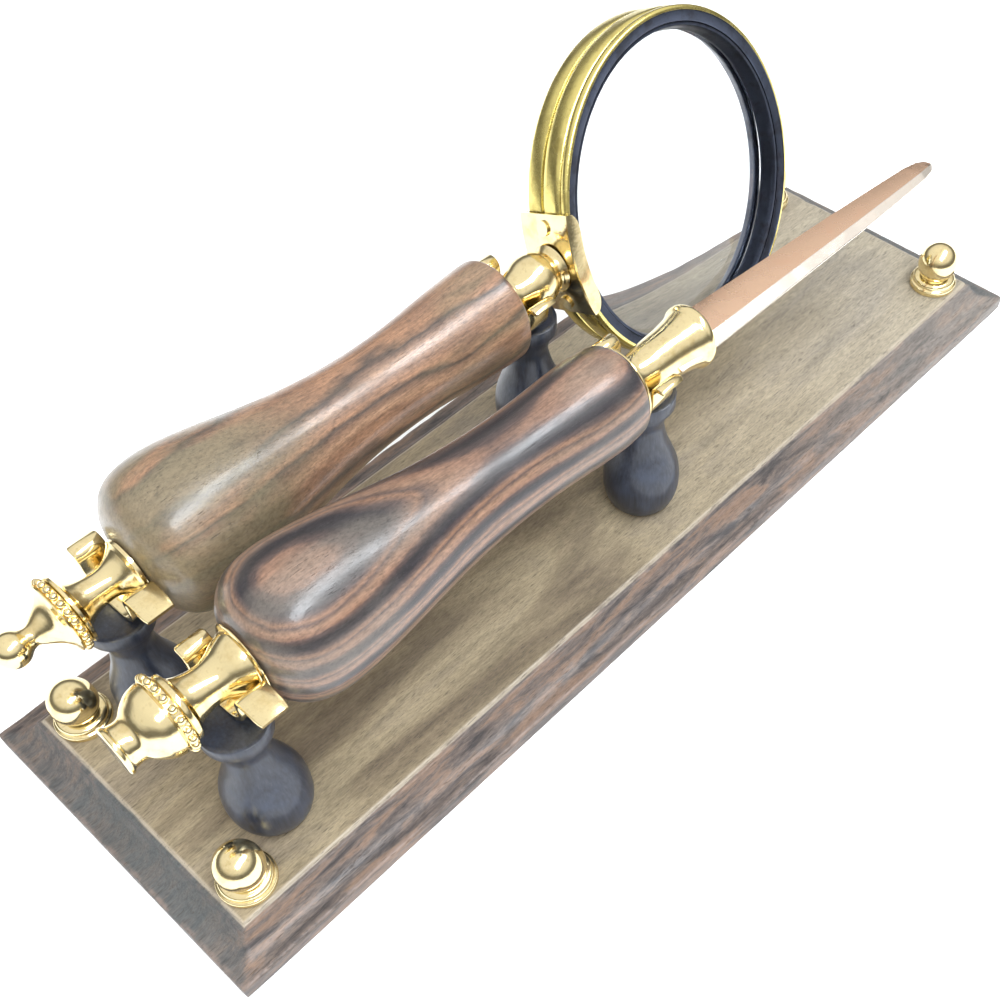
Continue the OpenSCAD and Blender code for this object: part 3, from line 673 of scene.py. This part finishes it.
OPENER_COLLAR = [(-7.35, 6.4), (-7.1, 6.65), (-6.7, 6.7), (-6.3, 6.4), (-6.0, 5.9)] + smooth(
    [(-5.4, 5.3), (-3.5, 5), (-1, 5.2), (2, 5.7), (5, 6), (9, 6.3), (12.5, 6.8), (15, 7.4)]) + [
    (15.5, 7.85), (15.9, 8.08), (16.4, 8.1), (16.9, 8.08), (17.25, 7.9), (17.4, 7.5),
    (17.2, 6.9)]
BLADE_START, BLADE_LENGTH = 17.5, 97.0
BLADE_HALF_WIDTH, BLADE_HALF_T = 7.0, 1.5
RIDGE = 0.52  # how far the ridge lies off the middle, as a part of the half width


def build_opener():
    put = dict(matrix=OPENER_FRAME, body=OPENER)
    brass = dict(slot="polished_brass", material=BRASS)
    turned("opener_pommel_turned", OPENER_POMMEL, nodes=["opener_pommel"], **put, **brass)
    build_bead_ring("opener_bead_ring_turned", x0=-134.8, x1=-132.6, bore=7.35, r=8.35,
                    count=20, matrix=OPENER_FRAME, body=OPENER, node="opener_bead_ring")
    turned("opener_handle_turned", OPENER_HANDLE, nodes=["opener_handle"],
           slot="opener_handle_wood", material=OPENER_WOOD, segments=160, angle=60, **put)
    turned("opener_washer_turned", OPENER_WASHER, nodes=["opener_washer"], **put, **brass)
    turned("opener_collar_turned", OPENER_COLLAR, nodes=["opener_collar"], **put, **brass)
    build_blade()


def build_blade():
    """Two flat facets on each face; stations are [along, half width, half thickness]."""
    shares = [(0.0, 1.0, 1.0), (0.3, 0.86, 0.97), (0.6, 0.72, 0.92), (0.8, 0.6, 0.88),
              (0.93, 0.5, 0.84), (0.975, 0.38, 0.68), (0.995, 0.2, 0.44), (1.0, 0.08, 0.24)]
    base = [(6.2, BLADE_HALF_WIDTH, BLADE_HALF_T)]
    base += [(BLADE_START + BLADE_LENGTH * a, BLADE_HALF_WIDTH * b, BLADE_HALF_T * c)
             for a, b, c in shares]
    stations = []
    for a, b in zip(base, base[1:]):
        for k in range(8):
            f = k / 8
            stations.append(tuple(a[j] + (b[j] - a[j]) * f for j in range(3)))
    stations.append(base[-1])
    bm = bmesh.new()
    rows = []
    for x, half, thick in stations:
        edge, ridge = min(0.25, thick * 0.5), RIDGE * half
        ring = [(half, edge * 0.5), (half * 0.985, edge), (0.12 - ridge, thick),
                (-0.12 - ridge, thick), (-half * 0.985, edge), (-half, edge * 0.5),
                (-half, -edge * 0.5), (-half * 0.985, -edge), (-0.12 - ridge, -thick),
                (0.12 - ridge, -thick), (half * 0.985, -edge), (half, -edge * 0.5)]
        rows.append([bm.verts.new(Vector((x, y, z)) * MM) for y, z in ring])
    for p, q in zip(rows, rows[1:]):
        for k in range(12):
            j = (k + 1) % 12
            f = bm.faces.new((p[k], p[j], q[j], q[k]))
            # Painted reflection: the wide facets and one edge get the copper-orange colour; the
            # ridge, the narrow bevels and the other edge get the pale one.
            f.material_index = 0 if k in (0, 1, 9, 10, 11) else 1
    bm.faces.new(rows[0])
    bm.faces.new(rows[-1])
    finish_piece(bm, "opener_blade_ground", OPENER_FRAME, OPENER, ["opener_blade"],
                 [FACET_PAINTED_REFLECTION, BEVEL_PAINTED_REFLECTION], 12)


# ---------- light, floor and camera ----------


def build_stage():
    me = bpy.data.meshes.new("floor")
    half = 4.0
    me.from_pydata([(-half, -half, 0), (half, -half, 0), (half, half, 0), (-half, half, 0)], [],
                   [(0, 1, 2, 3)])
    floor = bpy.data.objects.new("floor", me)
    bpy.context.scene.collection.objects.link(floor)
    floor.location.z = -0.0002
    m = Mat("pale_floor")
    p = m.place()
    shade = m.noise(p, (0.01, 0.01, 0.01), 2.0)
    m.set(Base_Color=m.mix(shade, (0.93, 0.93, 0.93), (0.95, 0.95, 0.95)), Roughness=0.8,
          Specular_IOR_Level=0.2)
    me.materials.append(m.m)


def area(name, at, aim, size_x, size_y, power, colour):
    light = bpy.data.lights.new(name, "AREA")
    light.shape = "RECTANGLE"
    light.size, light.size_y, light.energy, light.color = size_x, size_y, power, colour
    o = bpy.data.objects.new(name, light)
    bpy.context.scene.collection.objects.link(o)
    o.location = at
    o.rotation_euler = (Vector(aim) - Vector(at)).to_track_quat("-Z", "Y").to_euler()
    return o


# Brightness of the surroundings from the horizon up to straight overhead.
SKY = [(0.0, 0.6), (0.06, 0.10), (0.30, 0.16), (0.5, 0.62), (1.0, 0.72)]
SKY_STRENGTH = 1.42


def build_lights():
    world = bpy.data.worlds.new("studio")
    bpy.context.scene.world = world
    world.use_nodes = True
    nt = world.node_tree
    back = nt.nodes["Background"]
    coord = nt.nodes.new("ShaderNodeTexCoord")
    split = nt.nodes.new("ShaderNodeSeparateXYZ")
    nt.links.new(coord.outputs["Generated"], split.inputs[0])
    ramp = nt.nodes.new("ShaderNodeValToRGB")
    r = ramp.color_ramp
    while len(r.elements) < len(SKY):
        r.elements.new(0.5)
    for e, (pos, c) in zip(r.elements, SKY):
        e.position = pos
        e.color = (c, c * 0.995, c * 0.985, 1)
    nt.links.new(split.outputs["Z"], ramp.inputs[0])
    nt.links.new(ramp.outputs[0], back.inputs["Color"])
    back.inputs["Strength"].default_value = SKY_STRENGTH
    area("key_strip", at=(0.10, -0.42, 0.98), aim=(-0.03, 0, 0.04), size_x=1.3, size_y=0.26,
         power=15.0, colour=(0.90, 0.95, 1.0))
    left = area("soft_left", at=(-0.95, 0.35, 0.75), aim=(0, 0, 0.03), size_x=0.7, size_y=0.7,
                power=8.0, colour=(1.0, 0.99, 0.96))
    front = area("soft_front", at=(-0.3, -1.1, 0.55), aim=(0, 0, 0.03), size_x=0.8,
                 size_y=0.35, power=7.0, colour=(0.97, 0.99, 1.0))
    left.visible_glossy = front.visible_glossy = False


def build_camera():
    """A view from above and in front, rolled slightly, with the frame shifted off the axis."""
    azimuth, elevation, roll = (math.radians(a) for a in (-46.68, 58.19, -0.92))
    target, distance = Vector((-45.5, -51.2, 0.0)), 291.1
    back = Vector((math.sin(azimuth) * math.cos(elevation),
                   -math.cos(azimuth) * math.cos(elevation), math.sin(elevation)))
    right = Vector((0, 0, 1)).cross(back).normalized()
    up = back.cross(right)
    r = right * math.cos(roll) + up * math.sin(roll)
    u = up * math.cos(roll) - right * math.sin(roll)
    cam = bpy.data.cameras.new("camera")
    cam.sensor_width = 36.0
    cam.lens = 41.9868
    cam.shift_x, cam.shift_y = -0.0875, 0.2047
    cam.clip_start, cam.clip_end = 0.01, 30.0
    o = bpy.data.objects.new("camera", cam)
    bpy.context.scene.collection.objects.link(o)
    turn = Matrix((r, u, back)).transposed().to_4x4()
    o.matrix_world = Matrix.Translation((target + back * distance) * MM) @ turn
    bpy.context.scene.camera = o


build_board()
build_posts()
for number, cradle in enumerate(CRADLES, 1):
    build_cradle(number, *cradle)
build_knobs()
build_glass()
build_opener()
for node, finish in (("post_screws", STEEL), ("cradle_screws", BRASS), ("glass_rod", STEEL),
                     ("opener_rod", STEEL), ("glass_saddle_rivets", BRASS)):
    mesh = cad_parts[node].data
    mesh.materials.clear()
    mesh.materials.append(finish)
build_stage()
build_lights()
build_camera()
bpy.context.scene.view_settings.view_transform = "Standard"
bpy.context.scene.view_settings.look = "None"
